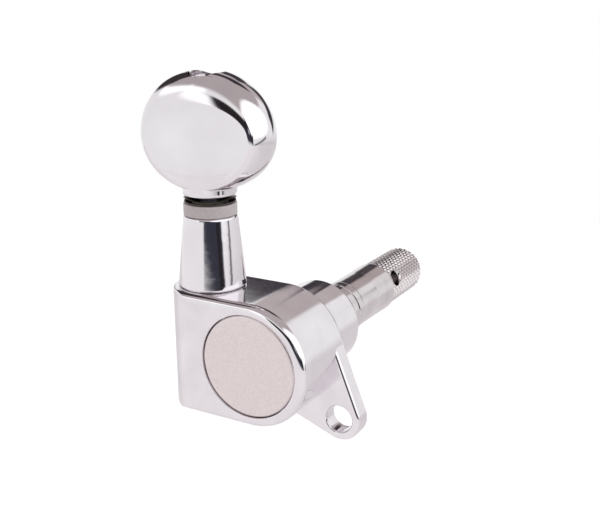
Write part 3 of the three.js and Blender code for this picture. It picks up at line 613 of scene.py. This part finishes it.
crossScrew = turnedObject("crossScrew", [
    (0, screwLow[2], 0), (screw["shank"], screwLow[2], screw["tipRound"]),
    (screw["shank"], screwHigh[2] - screw["height"], 0),
    (screw["head"], screwHigh[2] - screw["height"], screw["edge"]),
    (screw["head"], screwHigh[2] - screw["crown"], screw["headRound"]),
    (screw["flatTop"], screwHigh[2], 0), (0, screwHigh[2], 0)], "Z", neckAxis, count=96)
for turn in (button["restAngle"], button["restAngle"] + math.pi / 2):
    carve(crossScrew, crossTool(turn), "DIFFERENCE")
finishPiece(crossScrew, postChrome, "tension_screw", "chrome_plate", "button_screw")


# String post: plain shank, diamond knurl, string hole and notched end

post = {
    "radius": 3.1, "foot": -2.3, "footRound": 0.1, "ring": 3.2, "ringStart": 8.9, "ringRise": 0.1,
    "grooveAt": 11.2, "grooveWide": 0.3, "grooveDeep": 0.14, "grooveEdge": 0.08,
    "grooveRound": 0.05, "ringEnd": 12.6, "ringRound": 0.3, "ringFall": 0.15, "fallRound": 0.1,
    "waistEnd": 17.0, "waistRound": 6, "flare": 3.2, "flareRound": 0.08,
    "knurlStart": 21.12, "knurlFall": 0.12, "knurlGap": 0.16, "knurl": 3.0, "knurlDepth": 0.18,
    "runIn": 0.2, "grooves": 24, "slant": 0.95, "flank": 1.6, "endRound": 0.7,
    "holeReach": 23.0, "hole": 1.0, "mouth": 0.35, "mouthRound": 0.3, "angle": math.radians(25),
    "notchDeep": 0.45, "notchWide": 1.2, "over": 1.0, "tenon": 3.2, "tenonTop": -2.0,
    "count": 480, "knurlRows": 140, "endSteps": 11, "holeCount": 72,
}


def triangleWave(phase):  # 0 at a groove's bottom, 1 half way between two grooves
    return np.abs((phase % 1.0) * 2 - 1)


def knurlHeight(angle, y):
    # two families of slanted grooves cross and leave diamonds between them
    turns = post["grooves"] * angle / (2 * np.pi)
    climb = post["grooves"] * (y - post["knurlStart"]) * post["slant"] / (2 * np.pi * post["knurl"])
    ridge = np.minimum(triangleWave(turns + climb), triangleWave(turns - climb))
    return post["knurlDepth"] * np.clip(ridge * post["flank"], 0, 1)


def makePost():
    # the radius by distance: a shank with a grooved ring just past the boss, a slight flare up to
    # the knurl, then a base radius plus the knurl's height, which runs in over a short length and
    # fades with the square of a cosine over the quarter round of the end
    shank, ring, groove = post["radius"], post["ring"], post["ring"] - post["grooveDeep"]
    grooveStart, grooveEnd = post["grooveAt"], post["grooveAt"] + post["grooveWide"]
    base = post["knurl"] - post["knurlDepth"]
    plain = roundedPath([
        (0, post["foot"], 0), (shank, post["foot"], post["footRound"]),
        (shank, post["ringStart"], 0), (ring, post["ringStart"] + post["ringRise"], 0),
        (ring, grooveStart, post["grooveRound"]),
        (groove, grooveStart + post["grooveEdge"], 0), (groove, grooveEnd - post["grooveEdge"], 0),
        (ring, grooveEnd, post["grooveRound"]), (ring, post["ringEnd"], post["ringRound"]),
        (shank, post["ringEnd"] + post["ringFall"], post["fallRound"]),
        (shank, post["waistEnd"], post["waistRound"]),
        (post["flare"], post["knurlStart"], post["flareRound"]),
        (base, post["knurlStart"] + post["knurlFall"], 0)], False, steps=2)[1:]
    stop = postHigh[1] - post["endRound"]
    ys = np.linspace(post["knurlStart"] + post["knurlGap"], stop, post["knurlRows"])
    knurlBase = np.stack([np.full(len(ys), base), ys], axis=1)
    turn = np.linspace(0, np.pi / 2, post["endSteps"] + 1)[1:]
    endArc = np.stack([base - post["endRound"] * (1 - np.cos(turn)),
                       stop + post["endRound"] * np.sin(turn)], axis=1)
    profile = np.concatenate([plain, knurlBase, endArc])
    runIn = np.clip((ys - ys[0]) / post["runIn"], 0, 1)
    ramp = np.concatenate([np.zeros(len(plain)), runIn, np.cos(turn) ** 2])
    angle = 2 * np.pi * np.arange(post["count"]) / post["count"]
    a, y = np.meshgrid(angle, profile[:, 1])
    radius = profile[:, 0, None] + ramp[:, None] * knurlHeight(a, y)
    loops = np.stack([radius * np.cos(a), y, radius * np.sin(a)], axis=2)
    return loopsObject("knurledPost", loops)


def alongHole(points):
    # turns a shape made along Z so that it lies across the post at the string hole's angle
    tilt = math.pi / 2 - post["angle"]
    c, s = math.cos(tilt), math.sin(tilt)
    turnMatrix = np.array([[c, 0, s], [0, 1, 0], [-s, 0, c]])
    return points @ turnMatrix.T


def holeTool():
    # a round bar across the post that widens into a cone past each mouth of the string hole
    far, wide = post["radius"] + post["over"], post["hole"] + post["mouth"] + post["over"]
    rim, bend = post["knurl"] - post["mouth"], post["mouthRound"]
    corners = [(0, -far, 0), (wide, -far, 0), (post["hole"], -rim, bend),
               (post["hole"], rim, bend), (wide, far, 0), (0, far, 0)]
    profile = roundedPath(corners, False)[1:-1]
    loops = turnedLoops(profile, "Z", (0, 0), post["holeCount"])
    across = alongHole(loops.reshape(-1, 3)).reshape(loops.shape)
    return loopsObject("holeTool", across + np.array([0, post["holeReach"], 0]))


def notchTool():
    # a long wedge across the post's end, in line with the string hole
    reach, over, far = postHigh[1], post["over"], post["knurl"] + post["over"]
    half = post["notchWide"] / 2 * (post["notchDeep"] + over) / post["notchDeep"]
    section = np.array([(0, reach - post["notchDeep"]),
                        (half, reach + over), (-half, reach + over)])
    loops = [np.stack([section[:, 0], section[:, 1], np.full(3, z)], axis=1) for z in (-far, far)]
    return loopsObject("notchTool", [alongHole(loop) for loop in loops])


knurledPost = makePost()
carve(knurledPost, holeTool(), "DIFFERENCE")
carve(knurledPost, notchTool(), "DIFFERENCE")
out = post["tenon"] / 2
tenonLoops = [[(-out, y, -out), (out, y, -out), (out, y, out), (-out, y, out)]
              for y in (postLow[1], post["tenonTop"])]
carve(knurledPost, loopsObject("tenon", tenonLoops), "UNION")
finishPiece(knurledPost, postChrome, "post_and_gear", "chrome_plate", "string_post")

sleeve = {"inner": 3.2, "outer": 3.7, "outerRound": 0.12, "innerRound": 0.08}
postSleeve = turnedObject("postSleeve", [
    (sleeve["inner"], sleeveLow[1], 0), (sleeve["outer"], sleeveLow[1], 0),
    (sleeve["outer"], sleeveHigh[1], sleeve["outerRound"]),
    (sleeve["inner"], sleeveHigh[1], sleeve["innerRound"])], "Y")
finishPiece(postSleeve, sleeveSteel, "gear_case", "bushing_steel", "post_bushing")


# Rear cap: a satin disc with a softly rolled rim

cap = {"radius": 5.62, "rimRound": 0.36, "sink": 0.05}
capLow, capHigh = nodeBox("rear_cap")
rearCap = turnedObject("satinCap", [
    (0, capHigh[1], 0), (cap["radius"], capHigh[1], 0),
    (cap["radius"], capLow[1] + cap["sink"], cap["rimRound"]),
    (0, capLow[1] + cap["sink"], 0)], "Y", count=224)
finishPiece(rearCap, satinChrome, "gear_case", "satin_chrome", "rear_cap")


# Hidden pieces keep their frame meshes and take their finishes

hiddenFinishes = {
    "worm_shaft": shaftSteel, "worm_gear": gearBrass, "gear_screw": screwSteel,
    "gear_lock_washer": screwSteel, "gear_thrust_washer": paleNylon,
    "lower_shaft_bush": gearBrass, "lower_thrust_washer": paleNylon,
    "upper_thrust_washer": paleNylon, "neck_seal_ring": blackRubber,
    "button_screw_washer": paleNylon,
}
for nodeName, nodeFinish in hiddenFinishes.items():
    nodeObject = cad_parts[nodeName]
    nodeObject.data.materials.clear()
    nodeObject.data.materials.append(nodeFinish)
print("frame pieces finished")


# Studio: pale floor, an even white world with soft pale and dark cards, and the camera

studio = {"floorZ": -60.0, "floorRadius": 300.0, "floorSides": 96, "floorHex": "#EFEDEF",
          "floorRough": 0.9, "cameraGlow": 0.6, "glossyFront": 0.44, "glossyBack": 0.27,
          "fade": 40.0}


def makeFloor():
    # a disc of pale paper: points at one radius and even angles round the origin
    sides = studio["floorSides"]
    angle = 2 * np.pi * np.arange(sides) / sides
    rim = np.stack([np.cos(angle), np.sin(angle), np.zeros(sides)], axis=1) * studio["floorRadius"]
    rim += np.array([0, 0, studio["floorZ"]])
    mesh = bpy.data.meshes.new("studioFloor")
    mesh.from_pydata((rim * mm).tolist(), [], [list(range(sides))])
    floor = bpy.data.objects.new("studioFloor", mesh)
    bpy.context.scene.collection.objects.link(floor)
    material, tree, shader, place = newMaterial("floorPaper")
    shader.inputs["Base Color"].default_value = linearColour(studio["floorHex"])
    shader.inputs["Roughness"].default_value = studio["floorRough"]
    shader.inputs["Emission Color"].default_value = (1, 1, 1, 1)
    rays = addNode(tree, "ShaderNodeLightPath")
    # the camera sees the floor white, and metal sees it a little darker behind than in front
    parts = addNode(tree, "ShaderNodeSeparateXYZ", links={"Vector": place})
    fade = addNode(tree, "ShaderNodeMapRange", links={"Value": parts.outputs["Y"]}, inputs={
        "From Min": -studio["fade"] * mm, "From Max": studio["fade"] * mm,
        "To Min": studio["glossyFront"], "To Max": studio["glossyBack"]})
    shine = addNode(tree, "ShaderNodeMath", {"operation": "MULTIPLY"},
                    links={0: rays.outputs["Is Glossy Ray"], 1: fade.outputs["Result"]})
    glow = addNode(tree, "ShaderNodeMath", {"operation": "MULTIPLY_ADD"}, {1: studio["cameraGlow"]},
                   {0: rays.outputs["Is Camera Ray"], 2: shine.outputs[0]})
    tree.links.new(glow.outputs[0], shader.inputs["Emission Strength"])
    mesh.materials.append(material)


# Each card is (azimuth, half width, lowest, highest, softness, tilt) in degrees, then its colour
# and level. Azimuth 0 lies towards -Y and grows towards +X, and heights are above the horizon. The
# tilt is how far a card's edges rise for each degree of azimuth. A later card hangs in front of an
# earlier one. Dark cards give the chrome its black streaks, and white ones its highlights. All but
# the ovalCards are rectangles.
cards = {
    "ceiling": (0, 200, 34, 95, 4, 0, "#BDB4B4", 1.0),
    "greyBehind": (-172, 23, 23, 42, 2.5, 0, "#C4BABA", 1.0),
    "floorBack": (150, 60, -90, -10, 9, 0, "#D6D3D5", 1.0),
    "softboxLeft": (-45, 28, 25.5, 33, 2, 0, "#FFFFFF", 1.4),
    "softboxNear": (-22, 8, 12, 28, 3, -1, "#FFFFFF", 1.4),
    "whiteWallLeft": (-132, 12, -40, -17, 3, 0, "#FFFFFF", 1.4),
    "softboxRight": (82, 54, -3, 53, 3, -0.1, "#FFFFFF", 1.4),
    "darkBackLeft": (-100, 35, 21, 60, 3, 0.5, "#3F393B", 1.0),
    "darkAbove": (-162, 32, 39, 66, 2, 0, "#413C42", 1.0),
    "darkBehind": (-156, 12, 16, 26, 1.6, -0.65, "#413C42", 1.0),
    "darkBehindRight": (172, 20, 3, 22, 3, 0.4, "#413C42", 1.0),
    "darkFront": (10, 24, 4, 24, 2, 0, "#2C2729", 1.0),
    "darkFrontLow": (41, 36, -10, 8, 4, -0.1, "#393A46", 1.0),
    "darkRight": (52, 24, 0, 9.5, 2, -0.86, "#2C2729", 1.0),
    "rail": (99, 16, -11.5, -8, 1.5, 0.35, "#6A6A6E", 1.0),
}
ovalCards = {"softboxRight"}


def makeWorld():
    # each card is mixed over the colour so far by a mask: 1 on the card, and 0 past its soft edges
    world = bpy.data.worlds.new("studioWorld")
    bpy.context.scene.world = world
    world.use_nodes = True
    tree = world.node_tree
    tree.nodes.clear()
    toward = addNode(tree, "ShaderNodeTexCoord").outputs["Generated"]
    colour = addNode(tree, "ShaderNodeRGB").outputs[0]
    colour.default_value = linearColour("#FFFFFF")
    for name, (azimuth, halfWidth, low, high, soft, tilt, hexText, level) in cards.items():
        turned = addNode(tree, "ShaderNodeVectorRotate", {"rotation_type": "Z_AXIS"},
                         {"Angle": -math.radians(azimuth)}, {"Vector": toward})
        parts = addNode(tree, "ShaderNodeSeparateXYZ", links={"Vector": turned.outputs[0]})
        back = addNode(tree, "ShaderNodeMath", {"operation": "MULTIPLY"}, {1: -1.0},
                       {0: parts.outputs["Y"]})
        side = addNode(tree, "ShaderNodeMath", {"operation": "ARCTAN2"},
                       links={0: parts.outputs["X"], 1: back.outputs[0]})
        width = addNode(tree, "ShaderNodeMath", {"operation": "ABSOLUTE"},
                        links={0: side.outputs[0]})
        climb = addNode(tree, "ShaderNodeMath", {"operation": "ARCSINE"},
                        links={0: parts.outputs["Z"]})
        height = addNode(tree, "ShaderNodeMath", {"operation": "MULTIPLY_ADD"}, {1: -tilt},
                         {0: side.outputs[0], 2: climb.outputs[0]})
        if name in ovalCards:
            # distance from the middle in shares of the oval's half sizes
            half = math.radians(high - low) / 2
            across = addNode(tree, "ShaderNodeMath", {"operation": "DIVIDE"},
                             {1: math.radians(halfWidth)}, {0: side.outputs[0]})
            offset = addNode(tree, "ShaderNodeMath", {"operation": "SUBTRACT"},
                             {1: math.radians(low + high) / 2}, {0: height.outputs[0]})
            upward = addNode(tree, "ShaderNodeMath", {"operation": "DIVIDE"}, {1: half},
                             {0: offset.outputs[0]})
            pair = addNode(tree, "ShaderNodeCombineXYZ",
                           links={"X": across.outputs[0], "Y": upward.outputs[0]})
            reach = addNode(tree, "ShaderNodeVectorMath", {"operation": "LENGTH"},
                            links={0: pair.outputs[0]})
            edge = math.radians(soft) / half
            mask = addNode(tree, "ShaderNodeMapRange", {"interpolation_type": "SMOOTHSTEP"}, {
                "From Min": 1 + edge, "From Max": 1 - edge}, {"Value": reach.outputs["Value"]})
        else:
            masks = []
            limits = ((width, halfWidth + soft, halfWidth - soft),
                      (height, low - soft, low + soft), (height, high + soft, high - soft))
            for source, start, end in limits:
                share = addNode(tree, "ShaderNodeMapRange", {"interpolation_type": "SMOOTHSTEP"}, {
                    "From Min": math.radians(start), "From Max": math.radians(end)},
                    {"Value": source.outputs[0]})
                masks.append(share.outputs["Result"])
            both = addNode(tree, "ShaderNodeMath", {"operation": "MULTIPLY"},
                           links={0: masks[0], 1: masks[1]})
            mask = addNode(tree, "ShaderNodeMath", {"operation": "MULTIPLY"},
                           links={0: both.outputs[0], 1: masks[2]})
        card = tuple(v * level for v in linearColour(hexText)[:3]) + (1.0,)
        mixed = addNode(tree, "ShaderNodeMix", {"data_type": "RGBA"}, {7: card},
                        {0: mask.outputs[0], 6: colour})  # 6 and 7 are its two colours
        colour = mixed.outputs[2]
    lit = addNode(tree, "ShaderNodeBackground", inputs={"Strength": 1.0}, links={"Color": colour})
    white = addNode(tree, "ShaderNodeBackground", inputs={"Color": (1, 1, 1, 1), "Strength": 1.0})
    seen = addNode(tree, "ShaderNodeLightPath").outputs["Is Camera Ray"]
    choice = addNode(tree, "ShaderNodeMixShader",
                     links={0: seen, 1: lit.outputs[0], 2: white.outputs[0]})
    output = addNode(tree, "ShaderNodeOutputWorld")
    tree.links.new(choice.outputs[0], output.inputs["Surface"])


view = {"azimuth": 29.94, "elevation": 17.19, "roll": -0.33, "focalPixels": 924.6, "imageWide": 600,
        "place": (48.79, -82.23, 38.29), "sensor": 36.0, "near": 0.005, "far": 10.0}


def makeCamera():
    # looks back along the given direction, turned about it by the roll
    azimuth, elevation, roll = (math.radians(view[k]) for k in ("azimuth", "elevation", "roll"))
    back = np.array([math.sin(azimuth) * math.cos(elevation),
                     -math.cos(azimuth) * math.cos(elevation), math.sin(elevation)])
    level = np.array([math.cos(azimuth), math.sin(azimuth), 0.0])
    upright = np.cross(back, level)
    right = level * math.cos(roll) + upright * math.sin(roll)
    up = upright * math.cos(roll) - level * math.sin(roll)
    data = bpy.data.cameras.new("photoCamera")
    data.sensor_width = view["sensor"]
    data.lens = view["focalPixels"] / view["imageWide"] * data.sensor_width
    data.clip_start = view["near"]
    data.clip_end = view["far"]
    camera = bpy.data.objects.new("photoCamera", data)
    bpy.context.scene.collection.objects.link(camera)
    rotation = np.stack([right, up, back], axis=1)
    matrix = np.eye(4)
    matrix[:3, :3] = rotation
    matrix[:3, 3] = np.array(view["place"]) * mm
    camera.matrix_world = Matrix(matrix.tolist())
    bpy.context.scene.camera = camera


makeFloor()
makeWorld()
makeCamera()
bpy.context.scene.view_settings.view_transform = "Standard"
print("studio and camera made")
